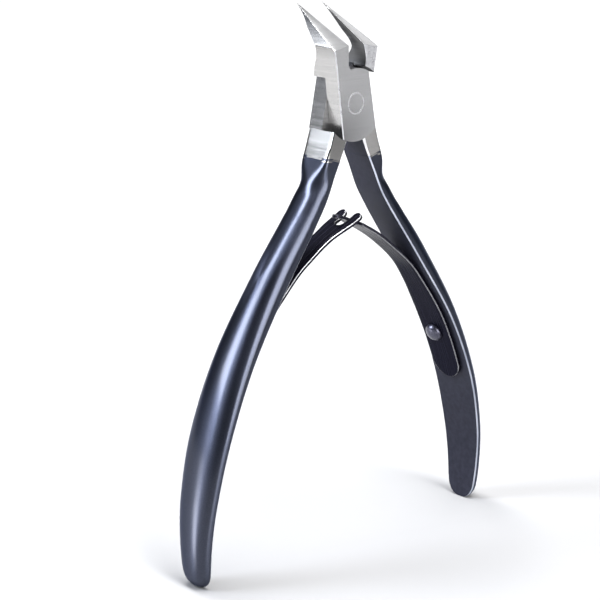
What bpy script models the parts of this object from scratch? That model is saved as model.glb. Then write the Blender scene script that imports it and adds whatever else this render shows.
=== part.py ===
"""Nail nipper: two forged halves lapped on one pivot pin, with a leaf spring riveted
inside each handle, the fork of one spring crossing the tongue of the other.

The frame has its origin on the pivot axis, at the flat front face of the joint.
X runs from the left handle to the right one, Y runs from front to back along the
pivot, and Z runs up towards the jaws. The tool is modelled open, as its springs
hold it. Lengths below are in millimetres and angles in degrees.
"""

import math

import bmesh
import bpy
from mathutils import Matrix, Vector

MM = 0.001

# The lap joint, drawn with the jaws shut and swung open afterwards.
OPEN_HALF_ANGLE = 9.67
JOINT_DEPTH = 8.4
LAP_GAP = 0.3
LAP_RADIUS = 8.2
LAP_TOP_RADIUS = 7.8
RECESS_RADIUS = 8.5
LAP_OUTER_TOP = 4.35
LAP_OUTER_FOOT = 4.8
LAP_INNER_SIDE = 5.0
LAP_CORNER_ANGLE = 52.0
NOTCH_FILLET = 0.6
BLOCK_TOP = 9.6
BEAK_OVERLAP = 0.6
BEAK_INSET = 0.05

# The jaws, given for the one on the -X side. The beak bends back to its tip.
EDGE_CLEARANCE = 0.04
HEEL_HEIGHT = 13.1
JAW_WIDTH = 4.3
NECK_DEPTH = 7.1
NECK_RISE = 0.3
BEAK_INNER_SIDE = 1.2
BEAK_INNER_DEPTH = 11.5
BEAK_INNER_RISE = 3.4
TIP_SETBACK = 15.5
TIP_HEIGHT = 21.2
TIP_WIDTH = 0.3
TIP_DEPTH = 0.6
FRONT_JAW_RELIEF = 0.34
BACK_JAW_RELIEF = 1.5

# The pivot pin, blind at the front face and ground flush with the back one.
PIN_RADIUS = 1.75
PIN_CLEARANCE = 0.05
PIN_CHAMFER = 0.15
BORE_FLOOR = 1.2
CUTTER_OVERSHOOT = 2.0

# The handles: height, and there the inner face's distance from the middle plane,
# the inner face's width, and the thickness of the domed outer side.
HANDLE_STATIONS = (
    (-5.0, 2.2, 8.0, 3.6),
    (-8.0, 3.0, 8.0, 3.6),
    (-22.0, 9.0, 8.8, 4.1),
    (-38.0, 20.2, 9.9, 4.5),
    (-54.0, 30.6, 11.7, 3.9),
    (-70.0, 37.6, 12.5, 3.3),
    (-84.0, 41.1, 11.5, 2.9),
    (-94.0, 42.0, 9.8, 2.85),
    (-104.0, 41.6, 7.8, 2.8),
)
HANDLE_TOP = -6.0
PAINT_LINE = -11.2
HANDLE_END = -103.8
HANDLE_NOSE = 4.0
NOSE_LEAST = 0.03
SQUARE_CORNER = 9.0
DOME_CORNER = 2.3
DOME_STARTS = -17.0
COAT_GAP = 0.3

# The leaf springs, given for the one on the +X handle.
SPRING_THICKNESS = 0.8
SPRING_GAP = 0.3
SPRING_SETBACK = 0.6
SPRING_LOW_END = -71.2
SPRING_LIFT_OFF = -47.0
SPRING_FREE_POINTS = ((17.8, -38.2), (12.1, -34.1), (8.2, -31.6), (3.4, -29.3), (-2.4, -26.5))
SPRING_WIDTHS = ((0.0, 8.2), (20.0, 8.0), (34.0, 6.8), (48.0, 6.1), (64.0, 6.1))
SPRING_HINGE_HEIGHT = -42.0
FORK_LENGTH = 5.0
FORK_NOTCH = 2.3
TONGUE_LENGTH = 5.4
TONGUE_WIDTH = 1.7
FOOT_END_RADIUS = 4.1
FORK_END_RADIUS = 2.0
LEAST_HALF_WIDTH = 0.3
COLUMN_SHARE = 0.6

# The rivets.
RIVET_HEIGHT = -60.0
RIVET_HEAD_RADIUS = 2.3
RIVET_HEAD_HEIGHT = 1.2
RIVET_SHANK_RADIUS = 1.0
RIVET_CLEARANCE = 0.05
RIVET_SEAT_GAP = 0.15
RIVET_RIM = 0.15
RIVET_DEPTH = 2.6
RIVET_TIP_GAP = 0.3

LEFT = -1
RIGHT = 1


def clear_scene():
    for item in list(bpy.data.objects):
        bpy.data.objects.remove(item, do_unlink=True)


def make_material(name, colour, metallic, roughness):
    material = bpy.data.materials.new(name)
    material.use_nodes = True
    shader = material.node_tree.nodes["Principled BSDF"]
    shader.inputs["Base Color"].default_value = (*colour, 1.0)
    shader.inputs["Metallic"].default_value = metallic
    shader.inputs["Roughness"].default_value = roughness
    material.diffuse_color = (*colour, 1.0)
    return material


def make_empty(name, origin, parent=None):
    empty = bpy.data.objects.new(name, None)
    empty.empty_display_size = 0.005
    bpy.context.collection.objects.link(empty)
    place(empty, origin, parent)
    return empty


def place(item, origin, parent):
    """Put an object's origin at a point of the tool's frame, under its parent."""
    spot = Vector(origin) * MM
    if parent is None:
        item.location = spot
        return
    item.parent = parent
    item.location = spot - Vector(parent["spot"])


def make_object(name, mesh_work, material=None, origin=(0.0, 0.0, 0.0), parent=None):
    """Turn a bmesh drawn in millimetres in the tool's frame into an object."""
    bmesh.ops.recalc_face_normals(mesh_work, faces=mesh_work.faces)
    shift = Matrix.Scale(MM, 4) @ Matrix.Translation(-Vector(origin))
    mesh_work.transform(shift)
    mesh = bpy.data.meshes.new(name)
    mesh_work.to_mesh(mesh)
    mesh_work.free()
    mesh.shade_smooth()
    mesh.set_sharp_from_angle(angle=math.radians(35.0))
    item = bpy.data.objects.new(name, mesh)
    bpy.context.collection.objects.link(item)
    place(item, origin, parent)
    if material is not None:
        mesh.materials.append(material)
    return item


def make_cutter(name, mesh_work, origin=(0.0, 0.0, 0.0), parent=None):
    cutter = make_object(name, mesh_work, None, origin, parent)
    cutter.hide_render = True
    cutter.display_type = "WIRE"
    return cutter


def boolean(target, tool, operation):
    modifier = target.modifiers.new(tool.name, "BOOLEAN")
    modifier.operation = operation
    modifier.solver = "EXACT"
    modifier.object = tool


def arc(radius, start, end, steps, centre=(0.0, 0.0)):
    """Points (x, z) on a circle, at angles in degrees from +X towards +Z."""
    points = []
    for step in range(steps + 1):
        angle = math.radians(start + (end - start) * step / steps)
        points.append(
            (centre[0] + radius * math.cos(angle), centre[1] + radius * math.sin(angle))
        )
    return points


def prism(outline, front, back):
    """A closed solid: an outline in X and Z, from depth front to depth back."""
    work = bmesh.new()
    near = [work.verts.new((x, front, z)) for x, z in outline]
    far = [work.verts.new((x, back, z)) for x, z in outline]
    work.faces.new(near)
    work.faces.new(list(reversed(far)))
    for index in range(len(outline)):
        following = (index + 1) % len(outline)
        work.faces.new((near[index], far[index], far[following], near[following]))
    return work


def loft(rings):
    """A closed solid through rings of equally many points."""
    work = bmesh.new()
    loops = [[work.verts.new(point) for point in ring] for ring in rings]
    count = len(loops[0])
    for first, second in zip(loops, loops[1:]):
        for index in range(count):
            following = (index + 1) % count
            work.faces.new((first[index], first[following], second[following], second[index]))
    work.faces.new(loops[0])
    work.faces.new(list(reversed(loops[-1])))
    return work


def turned(profile, base, axis, steps=32):
    """A closed solid turned about an axis, from (radius, height) points."""
    axis = Vector(axis).normalized()
    side = axis.orthogonal().normalized()
    across = axis.cross(side)
    rings = []
    for radius, height in profile:
        centre = Vector(base) + axis * height
        ring = []
        for step in range(steps):
            angle = 2.0 * math.pi * step / steps
            ring.append(centre + (side * math.cos(angle) + across * math.sin(angle)) * radius)
        rings.append(ring)
    return loft(rings)


def smooth_value(table, at, column):
    """A Catmull-Rom curve through table rows, whose first column is the position."""
    rows = sorted(table)
    at = min(max(at, rows[0][0]), rows[-1][0])
    low = max(index for index, row in enumerate(rows[:-1]) if row[0] <= at)
    high = low + 1

    def slope(index):
        before, after = max(index - 1, 0), min(index + 1, len(rows) - 1)
        return (rows[after][column] - rows[before][column]) / (rows[after][0] - rows[before][0])

    span = rows[high][0] - rows[low][0]
    t = (at - rows[low][0]) / span
    return (
        (2 * t**3 - 3 * t**2 + 1) * rows[low][column]
        + (t**3 - 2 * t**2 + t) * span * slope(low)
        + (3 * t**2 - 2 * t**3) * rows[high][column]
        + (t**3 - t**2) * span * slope(high)
    )


def swing_open(work, side):
    """Swing a half drawn with its jaws shut out to rest; side is its handle's side."""
    work.transform(Matrix.Rotation(math.radians(-side * OPEN_HALF_ANGLE), 4, "Y"))


# ---- handles ----


def flat_point(height, side):
    """A point in the middle of a handle's inner face, and the outward normal there."""
    reach = smooth_value(HANDLE_STATIONS, height, 1)
    step = 0.5
    lean = (
        smooth_value(HANDLE_STATIONS, height + step, 1)
        - smooth_value(HANDLE_STATIONS, height - step, 1)
    ) / (2.0 * step)
    normal = Vector((side, 0.0, -lean)).normalized()
    return Vector((side * reach, JOINT_DEPTH / 2.0, height)), normal


def handle_ring(height, side, steps=16):
    """The D-shaped section of a handle, square to it at the given height."""
    middle, normal = flat_point(height, side)
    width = smooth_value(HANDLE_STATIONS, height, 2)
    dome = smooth_value(HANDLE_STATIONS, height, 3)
    blend = min(max((height - DOME_STARTS) / (HANDLE_TOP - DOME_STARTS), 0.0), 1.0)
    power = DOME_CORNER + (SQUARE_CORNER - DOME_CORNER) * blend**2
    above_end = (height - HANDLE_END) / HANDLE_NOSE
    nose = 1.0
    if above_end < 1.0:
        nose = math.sqrt(max(1.0 - (1.0 - above_end) ** 2, NOSE_LEAST))
    ring = []
    for step in range(steps + 1):
        angle = math.pi * step / steps
        across = math.copysign(abs(math.cos(angle)) ** (2.0 / power), math.cos(angle))
        out = abs(math.sin(angle)) ** (2.0 / power)
        ring.append(
            middle
            + Vector((0.0, across * nose * width / 2.0, 0.0))
            + normal * (out * nose * dome)
        )
    return ring


def handle_solid(top, bottom, side, steps):
    heights = [top + (bottom - top) * step / steps for step in range(steps + 1)]
    return loft([handle_ring(height, side) for height in heights])


def make_handle(side, name, material, parent):
    """The coated length of a half, below the paint line."""
    straight_end = HANDLE_END + HANDLE_NOSE
    top = PAINT_LINE - COAT_GAP
    rings = 30
    heights = [top + (straight_end - top) * step / rings for step in range(rings)]
    nose_rings = 6
    for step in range(nose_rings + 1):
        sweep = math.pi / 2.0 * step / nose_rings
        heights.append(HANDLE_END + HANDLE_NOSE * (1.0 - math.sin(sweep)))
    work = loft([handle_ring(height, side) for height in heights])
    handle = make_object(name, work, material, parent=parent)
    drill_for_rivet(handle, side, parent)
    return handle


# ---- the two forged halves ----


def half_outline(relief):
    """The lap plate and jaw root seen from the front, jaw on -X and handle on +X."""
    foot_angle = -180.0 + math.degrees(math.acos(LAP_OUTER_FOOT / LAP_RADIUS))
    shoulder_angle = math.degrees(math.acos(LAP_INNER_SIDE / LAP_TOP_RADIUS))
    arc_end = math.sqrt(LAP_TOP_RADIUS**2 - relief**2)
    fillet_centre = (-relief + NOTCH_FILLET, arc_end + NOTCH_FILLET)
    notch_angle = math.degrees(math.acos(fillet_centre[0] / LAP_TOP_RADIUS))
    outline = [(-LAP_OUTER_TOP, BLOCK_TOP)]
    outline += arc(LAP_RADIUS, foot_angle, -LAP_CORNER_ANGLE, 16)
    outline += arc(LAP_TOP_RADIUS, shoulder_angle, notch_angle, 10)
    outline += arc(NOTCH_FILLET, 270.0, 180.0, 5, fillet_centre)
    outline.append((-relief, BLOCK_TOP))
    return outline


def beak_solid(relief):
    """The bent jaw above the joint, on -X: the hull of its corners."""
    edge = -EDGE_CLEARANCE
    base = BLOCK_TOP - BEAK_OVERLAP
    rear = JOINT_DEPTH - BEAK_INSET
    corners = (
        (edge, TIP_SETBACK, TIP_HEIGHT),
        (edge - TIP_WIDTH, TIP_SETBACK - TIP_WIDTH / 2.0, TIP_HEIGHT),
        (edge - TIP_WIDTH / 2.0, TIP_SETBACK - TIP_WIDTH, TIP_HEIGHT - TIP_DEPTH),
        (edge, 0.0, HEEL_HEIGHT),
        (-JAW_WIDTH, 0.0, HEEL_HEIGHT - NECK_RISE / 2.0),
        (-JAW_WIDTH, NECK_DEPTH, HEEL_HEIGHT + NECK_RISE),
        (-BEAK_INNER_SIDE, NECK_DEPTH, HEEL_HEIGHT),
        (-BEAK_INNER_SIDE, BEAK_INNER_DEPTH, HEEL_HEIGHT + BEAK_INNER_RISE),
        (-LAP_OUTER_TOP, 0.0, base),
        (-relief, 0.0, base),
        (-max(relief, BEAK_INNER_SIDE), rear, base),
        (-LAP_OUTER_TOP, rear, base),
    )
    work = bmesh.new()
    for corner in corners:
        work.verts.new(corner)
    bmesh.ops.convex_hull(work, input=work.verts)
    return work


def make_half(side, name, material, parent):
    """One forging: jaw, lap plate and the bare top of the handle on the given side."""
    in_front = side == RIGHT
    relief = FRONT_JAW_RELIEF if in_front else BACK_JAW_RELIEF
    mirror = Matrix.Scale(side, 4, (1.0, 0.0, 0.0))

    plate = prism(half_outline(relief), 0.0, JOINT_DEPTH)
    beak = beak_solid(relief)
    for work in (plate, beak):
        work.transform(mirror)
        swing_open(work, side)
    half = make_object(name, plate, material, parent=parent)
    stub = handle_solid(HANDLE_TOP, PAINT_LINE, side, 8)
    boolean(half, make_cutter(name + "_beak", beak, parent=parent), "UNION")
    boolean(half, make_cutter(name + "_stub", stub, parent=parent), "UNION")

    middle = JOINT_DEPTH / 2.0
    past_back = JOINT_DEPTH + CUTTER_OVERSHOOT
    near = middle - LAP_GAP / 2.0 if in_front else -CUTTER_OVERSHOOT
    far = past_back if in_front else middle + LAP_GAP / 2.0
    recess = turned(((RECESS_RADIUS, near), (RECESS_RADIUS, far)), (0, 0, 0), (0, 1, 0), 64)
    boolean(half, make_cutter(name + "_recess", recess, parent=parent), "DIFFERENCE")
    floor = BORE_FLOOR if in_front else -CUTTER_OVERSHOOT
    radius = PIN_RADIUS + PIN_CLEARANCE
    bore = turned(((radius, floor), (radius, past_back)), (0, 0, 0), (0, 1, 0), 48)
    boolean(half, make_cutter(name + "_bore", bore, parent=parent), "DIFFERENCE")
    return half


def make_pin(material, parent):
    """The pivot pin, with a small chamfer at its flush end."""
    profile = (
        (PIN_RADIUS, BORE_FLOOR + LAP_GAP),
        (PIN_RADIUS, JOINT_DEPTH - PIN_CHAMFER),
        (PIN_RADIUS - PIN_CHAMFER, JOINT_DEPTH),
    )
    return make_object(
        "pivot_pin", turned(profile, (0, 0, 0), (0, 1, 0), 48), material, parent=parent
    )


# ---- leaf springs ----


def spring_path():
    """Points along the middle of the +X spring, from its riveted end to its tip."""
    offset = SPRING_GAP + SPRING_THICKNESS / 2.0
    knots = []
    steps = 6
    for step in range(steps + 1):
        height = SPRING_LOW_END + (SPRING_LIFT_OFF - SPRING_LOW_END) * step / steps
        middle, normal = flat_point(height, RIGHT)
        knots.append(middle - normal * offset)
    for x, z in SPRING_FREE_POINTS:
        knots.append(Vector((x, JOINT_DEPTH / 2.0, z)))
    lengths = [0.0]
    for first, second in zip(knots, knots[1:]):
        lengths.append(lengths[-1] + (second - first).length)
    return [(length, knot.x, knot.z) for length, knot in zip(lengths, knots)]


def spring_frame(table, along):
    """The path's point and the inward normal at a length along the +X spring."""
    depth = JOINT_DEPTH / 2.0 + SPRING_SETBACK
    step = 0.2
    here = Vector((smooth_value(table, along, 1), depth, smooth_value(table, along, 2)))
    ahead, behind = min(along + step, table[-1][0]), max(along - step, 0.0)
    tangent = Vector(
        (
            smooth_value(table, ahead, 1) - smooth_value(table, behind, 1),
            0.0,
            smooth_value(table, ahead, 2) - smooth_value(table, behind, 2),
        )
    ).normalized()
    return here, Vector((tangent.z, 0.0, -tangent.x))


def length_at_height(table, height):
    low, high = 0.0, table[-1][0]
    for _ in range(40):
        middle = (low + high) / 2.0
        if smooth_value(table, middle, 2) < height:
            low = middle
        else:
            high = middle
    return low


def rounded(width, to_end, radius):
    """A half width that rounds off over the last stretch before an end."""
    if to_end >= radius:
        return width / 2.0
    left_over = width / 2.0 - radius + math.sqrt(radius**2 - (radius - to_end) ** 2)
    return max(left_over, LEAST_HALF_WIDTH)


def strip_stations(start, end, notch_start, tip):
    """Lengths at which a stretch of spring is drawn, closest together where it rounds off."""
    steps = 26
    stations = [start + (end - start) * step / steps for step in range(steps + 1)]
    sweeps = [math.pi / 2.0 * step / 8 for step in range(9)]
    if tip is None:
        stations = [along for along in stations if along > FOOT_END_RADIUS]
        stations += [FOOT_END_RADIUS * (1.0 - math.cos(sweep)) for sweep in sweeps]
        return sorted(stations)
    step_length = 0.01
    stations = [
        along
        for along in stations
        if abs(along - notch_start) > 40 * step_length and along < end - FORK_END_RADIUS
    ]
    stations += [notch_start - step_length, notch_start + step_length]
    stations += [end - FORK_END_RADIUS * (1.0 - math.sin(sweep)) for sweep in sweeps]
    return sorted(stations)


def half_width(along, total, notch_start, tip):
    """Half the strip's width at a length along it."""
    width = smooth_value(SPRING_WIDTHS, along, 1)
    if tip is None:
        return rounded(width, along, FOOT_END_RADIUS)
    if tip == "fork":
        return rounded(width, total - along + LEAST_HALF_WIDTH / 2.0, FORK_END_RADIUS / 2.0)
    if along > notch_start:
        return TONGUE_WIDTH / 2.0
    return width / 2.0


def spring_strip(table, start, end, side, tip):
    """A stretch of spring; tip is 'fork', 'tongue' or None for the riveted stretch."""
    total = table[-1][0]
    notch_start = total - (FORK_LENGTH if tip == "fork" else TONGUE_LENGTH)
    stations = strip_stations(start, end, notch_start, tip)
    work = bmesh.new()
    bands = []
    for along in stations:
        half = half_width(along, total, notch_start, tip)
        split = min(FORK_NOTCH / 2.0, half * COLUMN_SHARE)
        here, normal = spring_frame(table, along)
        band = []
        for across in (-half, -split, split, half):
            for face in (1.0, -1.0):
                point = here + normal * (face * SPRING_THICKNESS / 2.0)
                point = Vector((side * point.x, point.y + across, point.z))
                band.append(work.verts.new(point))
        bands.append(band)
    count = len(stations)

    def filled(row, column):
        """Whether the cell between two stations and two columns holds metal."""
        if not 0 <= row < count - 1 or not 0 <= column < 3:
            return False
        in_notch = tip == "fork" and stations[row] > notch_start
        return not (in_notch and column == 1)

    for row in range(count - 1):
        here, ahead = bands[row], bands[row + 1]
        for column in range(3):
            if not filled(row, column):
                continue
            a, b = 2 * column, 2 * column + 2
            work.faces.new((here[a], here[b], ahead[b], ahead[a]))
            work.faces.new((here[a + 1], ahead[a + 1], ahead[b + 1], here[b + 1]))
            if not filled(row, column - 1):
                work.faces.new((here[a], ahead[a], ahead[a + 1], here[a + 1]))
            if not filled(row, column + 1):
                work.faces.new((here[b], here[b + 1], ahead[b + 1], ahead[b]))
            if not filled(row - 1, column):
                work.faces.new((here[a], here[a + 1], here[b + 1], here[b]))
            if not filled(row + 1, column):
                work.faces.new((ahead[a], ahead[b], ahead[b + 1], ahead[a + 1]))
    loose = [vert for vert in work.verts if not vert.link_faces]
    bmesh.ops.delete(work, geom=loose, context="VERTS")
    return work


def rivet_seat(side):
    """Where a rivet's axis meets the handle's inner face, and the way out of it."""
    middle, normal = flat_point(RIVET_HEIGHT, side)
    middle.y += SPRING_SETBACK
    return middle, -normal


def drill_for_rivet(target, side, parent):
    seat, outward = rivet_seat(side)
    radius = RIVET_SHANK_RADIUS + RIVET_CLEARANCE
    profile = ((radius, -RIVET_DEPTH), (radius, SPRING_GAP + 3.0 * SPRING_THICKNESS))
    hole = turned(profile, seat, outward)
    drill = make_cutter(target.name + "_rivet_hole", hole, parent=parent)
    boolean(target, drill, "DIFFERENCE")


def make_rivet(side, name, material, parent):
    """A rivet: a shank in the handle and a domed head on the spring."""
    seat, outward = rivet_seat(side)
    head = SPRING_GAP + SPRING_THICKNESS + RIVET_SEAT_GAP
    profile = [
        (RIVET_SHANK_RADIUS, RIVET_TIP_GAP - RIVET_DEPTH),
        (RIVET_SHANK_RADIUS, head),
        (RIVET_HEAD_RADIUS, head),
    ]
    for step in range(5):
        angle = math.pi / 2.0 * step / 5
        profile.append(
            (
                RIVET_HEAD_RADIUS * math.cos(angle),
                head + RIVET_RIM + (RIVET_HEAD_HEIGHT - RIVET_RIM) * math.sin(angle),
            )
        )
    return make_object(name, turned(profile, seat, outward), material, parent=parent)


def make_spring(side, word, tip, material, parent):
    """One leaf spring, in two lengths that meet where it flexes off the handle."""
    table = spring_path()
    hinge = length_at_height(table, SPRING_HINGE_HEIGHT)
    half_gap = SPRING_GAP / 2.0
    foot = make_object(
        word + "_spring_foot",
        spring_strip(table, 0.0, hinge - half_gap, side, None),
        material,
        parent=parent,
    )
    drill_for_rivet(foot, side, parent)
    spot, _ = spring_frame(table, hinge)
    origin = (side * spot.x, spot.y, spot.z)
    make_object(
        word + "_spring_blade",
        spring_strip(table, hinge + half_gap, table[-1][0], side, tip),
        material,
        origin=origin,
        parent=parent,
    )


def main():
    clear_scene()
    steel = make_material("brushed_steel", (0.62, 0.62, 0.63), 1.0, 0.32)
    coat = make_material("blue_coat", (0.035, 0.045, 0.085), 0.85, 0.25)
    spring_steel = make_material("dark_spring_steel", (0.05, 0.05, 0.075), 0.9, 0.35)
    rivet_steel = make_material("dark_rivet_steel", (0.045, 0.045, 0.065), 0.9, 0.35)
    pin_steel = make_material("pin_steel", (0.55, 0.55, 0.57), 1.0, 0.3)

    back_group = make_empty("back_half_pivot", (0.0, 0.0, 0.0))
    front_group = make_empty("front_half_pivot", (0.0, 0.0, 0.0))
    for group in (back_group, front_group):
        group["spot"] = (0.0, 0.0, 0.0)

    make_half(RIGHT, "front_half", steel, front_group)
    make_half(LEFT, "back_half", steel, back_group)
    make_pin(pin_steel, back_group)
    for side, word, tip, group in (
        (RIGHT, "right", "tongue", front_group),
        (LEFT, "left", "fork", back_group),
    ):
        make_handle(side, word + "_handle", coat, group)
        make_spring(side, word, tip, spring_steel, group)
        make_rivet(side, word + "_spring_rivet", rivet_steel, group)


main()
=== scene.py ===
"""Looks of the nail nipper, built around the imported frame.

Lengths in the modelling sections are in millimetres and are scaled to metres when a mesh
is made. The frame's origin is on the pivot axis, at the front face of the joint.
"""

import math

import bmesh
import bpy
from mathutils import Matrix, Vector


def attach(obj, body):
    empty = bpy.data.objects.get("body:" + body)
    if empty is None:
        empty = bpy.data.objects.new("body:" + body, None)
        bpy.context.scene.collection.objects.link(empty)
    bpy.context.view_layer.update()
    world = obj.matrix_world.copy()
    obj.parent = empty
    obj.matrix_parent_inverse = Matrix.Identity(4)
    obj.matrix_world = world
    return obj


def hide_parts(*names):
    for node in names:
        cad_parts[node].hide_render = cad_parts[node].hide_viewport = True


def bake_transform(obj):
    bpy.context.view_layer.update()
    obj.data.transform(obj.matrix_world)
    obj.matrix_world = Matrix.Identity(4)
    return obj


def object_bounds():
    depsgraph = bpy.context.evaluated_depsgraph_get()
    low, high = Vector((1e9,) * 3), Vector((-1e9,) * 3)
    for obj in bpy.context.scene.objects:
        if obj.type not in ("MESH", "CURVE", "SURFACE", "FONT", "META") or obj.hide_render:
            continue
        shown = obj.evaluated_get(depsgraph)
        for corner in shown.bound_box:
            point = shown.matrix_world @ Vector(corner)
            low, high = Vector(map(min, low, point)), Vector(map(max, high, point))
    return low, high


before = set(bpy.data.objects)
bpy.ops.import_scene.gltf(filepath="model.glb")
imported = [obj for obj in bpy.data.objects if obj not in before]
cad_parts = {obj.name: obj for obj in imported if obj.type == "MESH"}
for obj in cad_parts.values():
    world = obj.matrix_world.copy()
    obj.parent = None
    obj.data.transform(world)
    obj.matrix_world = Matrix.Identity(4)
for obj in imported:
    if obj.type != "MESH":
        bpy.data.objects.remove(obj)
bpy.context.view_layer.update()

MM = 0.001
LEFT = -1
RIGHT = 1
PIVOT = (0.0, 0.0, 0.0)
PIVOT_AXIS = (0.0, 1.0, 0.0)

# Faces that meet at more than these angles, in degrees, keep a sharp edge between them.
SHARP_ANGLE = 30.0
HANDLE_SHARP_ANGLE = 28.0
SPRING_SHARP_ANGLE = 50.0

# ---- sizes, most of them shared with the solid model ----

OPEN_HALF_ANGLE = 9.67
JOINT_DEPTH = 8.4
LAP_GAP = 0.06
LAP_LOW_RADIUS = 8.5
LAP_TOP_RADII = {RIGHT: 7.75, LEFT: 7.7}
RECESS_LOW_RADIUS = 8.6
RECESS_TOP_RADII = {RIGHT: 7.8, LEFT: 8.4}
LAP_OUTER_TOP = 4.35
LAP_OUTER_FOOT = 4.85
LAP_INNER_SIDE = 4.95
LAP_CORNER_ANGLE = 52.0
NOTCH_FILLET = 0.6
BLOCK_TOP = 8.7
EDGE_CHAMFER = 0.2
# Edges of the plate's outline that are shorter than this belong to its round rims.
LONGEST_RIM_STEP = 3.0
# How far the recess's cutting tool reaches out of the joint.
CUT_PAST = 2.0

# The jaws, drawn for the one on -X. Each row gives a height and what is there at it.
JAW_FOOT = 6.0
HEEL_HEIGHT = 13.05
TIP_SETBACK = 15.5
TIP_HEIGHT = 21.15
EDGE_CLEARANCE = 0.04
JAW_INNER_EDGE = {
    RIGHT: ((6.0, -0.7), (9.0, -0.7), (11.0, -0.4), (12.3, -0.15), (13.05, -0.04)),
    LEFT: ((6.0, -1.37), (8.5, -1.38), (9.4, -1.36), (10.7, -1.1), (12.0, -0.55), (13.05, -0.04)),
}
JAW_REAR_OUTER = (
    (6.0, -4.35, 8.22),
    (6.6, -4.35, 8.1),
    (8.0, -4.35, 7.79),
    (9.5, -4.35, 7.2),
    (10.9, -4.35, 6.62),
    (12.3, -4.35, 6.39),
    (13.6, -4.24, 6.62),
    (14.7, -3.66, 7.89),
    (16.75, -2.58, 10.23),
    (19.0, -1.37, 12.47),
    (21.05, -0.2, 15.35),
)
JAW_REAR_INNER = (
    (6.0, -1.5, 8.2),
    (8.0, -1.45, 7.5),
    (9.5, -1.4, 6.7),
    (11.0, -1.3, 5.6),
    (12.2, -1.25, 5.2),
    (13.3, -1.2, 5.9),
    (14.4, -1.1, 7.14),
    (15.7, -0.9, 8.86),
    (17.5, -0.65, 10.94),
    (19.55, -0.35, 13.38),
    (21.05, -0.12, 15.4),
)
JAW_HOLLOW = 0.45
JAW_BELLY = 0.12
JAW_EASE = 0.08
JAW_INWARD = Vector((-1.0, 0.0, 0.0))
JAW_OUTWARD = Vector((0.0, -0.47, 0.88))
# The ridge between a jaw's front and its outer side: its distance from the middle plane
# at the heel and at the tip, how far it stops short of the tip and sags at the heel.
RIDGE_START = 4.33
RIDGE_END = 0.16
RIDGE_SHORT = 0.05
RIDGE_SAG = 0.15
RIDGE_EXTRA_RISE = 0.12
# Chamfers of the inner front edge, the ridge and the two rear corners.
ROOT_CHAMFERS = (0.14, EDGE_CHAMFER, 0.15, 0.08)
JAW_CHAMFERS = (0.12, 0.04, 0.15, 0.08)
JAW_CHAMFER_SHARE = 0.35
JAW_SWELL_POWER = 0.8
JAW_COLUMNS = 7
JAW_ROOT_STEPS = 28

PIN_RADIUS = 1.75
PIN_CLEARANCE = 0.05
PIN_CHAMFER = 0.15
PIN_SUNK = 1.0
RING_RADIUS = 2.45
RING_WIDTH = 0.3
RING_SUNK = 0.02
RING_PROUD = 0.012

# Height, and there the inner face's distance from the middle plane, its width, the
# thickness of the domed side and how square that side's corners are.
HANDLE_STATIONS = (
    (-5.0, 1.0, 8.36, 4.9, 30.0),
    (-8.0, 2.3, 8.36, 4.5, 26.0),
    (-10.5, 3.4, 8.36, 4.2, 16.0),
    (-15.0, 5.6, 8.4, 3.9, 3.6),
    (-22.0, 9.0, 8.8, 3.9, 2.5),
    (-38.0, 20.2, 9.9, 4.5, 2.3),
    (-54.0, 30.6, 11.7, 3.9, 2.3),
    (-70.0, 37.6, 12.5, 3.3, 2.3),
    (-84.0, 41.1, 11.5, 2.9, 2.3),
    (-94.0, 42.0, 9.8, 2.85, 2.3),
    (-104.0, 41.6, 7.8, 2.8, 2.3),
)
HANDLE_TOP = -6.0
PAINT_LINE = -11.2
# How far the paint line dips below that height, inside and farther outside.
PAINT_DROP_INSIDE = 1.2
PAINT_DROP_OUTSIDE = 0.8
PAINT_DROP_REACH = 14.0
HANDLE_END = -103.8
HANDLE_NOSE = 4.0
NOSE_SMALLEST = 0.06
NOSE_POWER = 0.75
DOME_STEPS = 56
STUB_CHAMFER = 0.3
STUB_OVERLAP = 0.8
COAT_CHAMFER = 0.24
COAT_THICKNESS = 0.05
COAT_LIP_LENGTH = 0.4
# How far the lip's rows are sunk into the coat, and how far under the paint line.
COAT_LIP_ROWS = ((0.25, 0.0), (0.03, 0.0), (0.0, 0.06), (0.0, 0.16))

SPRING_THICKNESS = 0.8
SPRING_GAP = 0.2
SPRING_SETBACK = 0.6
SPRING_LOW_END = -71.2
SPRING_LOW_STEPS = 6
SPRING_LIFT_OFF = {RIGHT: -45.0, LEFT: -48.0}
# X and Z on the middle of each strip, drawn on +X, from where it leaves the handle.
SPRING_FREE_POINTS = {
    RIGHT: (
        (20.1, -39.7), (12.95, -33.7), (8.45, -30.65), (5.0, -28.75),
        (1.9, -27.1), (-0.4, -26.25), (-2.0, -25.95),
    ),
    LEFT: (
        (18.15, -39.9), (14.45, -36.5), (11.05, -34.1), (6.7, -31.25),
        (2.45, -29.05), (-0.75, -27.65), (-2.9, -26.6), (-3.85, -25.8),
    ),
}
# Length from the foot, and the strip's width there.
SPRING_WIDTHS = {
    RIGHT: (
        (0.0, 8.7), (15.0, 9.0), (22.0, 8.6), (29.3, 7.35),
        (36.3, 6.45), (42.4, 5.95), (46.0, 5.95), (51.0, 6.6),
        (56.0, 7.2), (66.0, 7.2),
    ),
    LEFT: (
        (0.0, 8.7), (15.0, 9.0), (22.0, 8.6), (29.3, 7.4),
        (37.0, 6.6), (45.0, 6.1), (54.0, 6.1), (57.5, 7.0),
        (60.5, 7.6), (66.0, 7.7),
    ),
}
SPRING_ROUND_OVER = 0.2
ROUND_SHARE = 0.3
ROUND_STEPS = 3
STRIP_COLUMNS = 6
STRIP_SPACING = 0.5
STRIP_FOOT_INSET = 0.03
STRIP_END_INSET = 0.02
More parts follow.
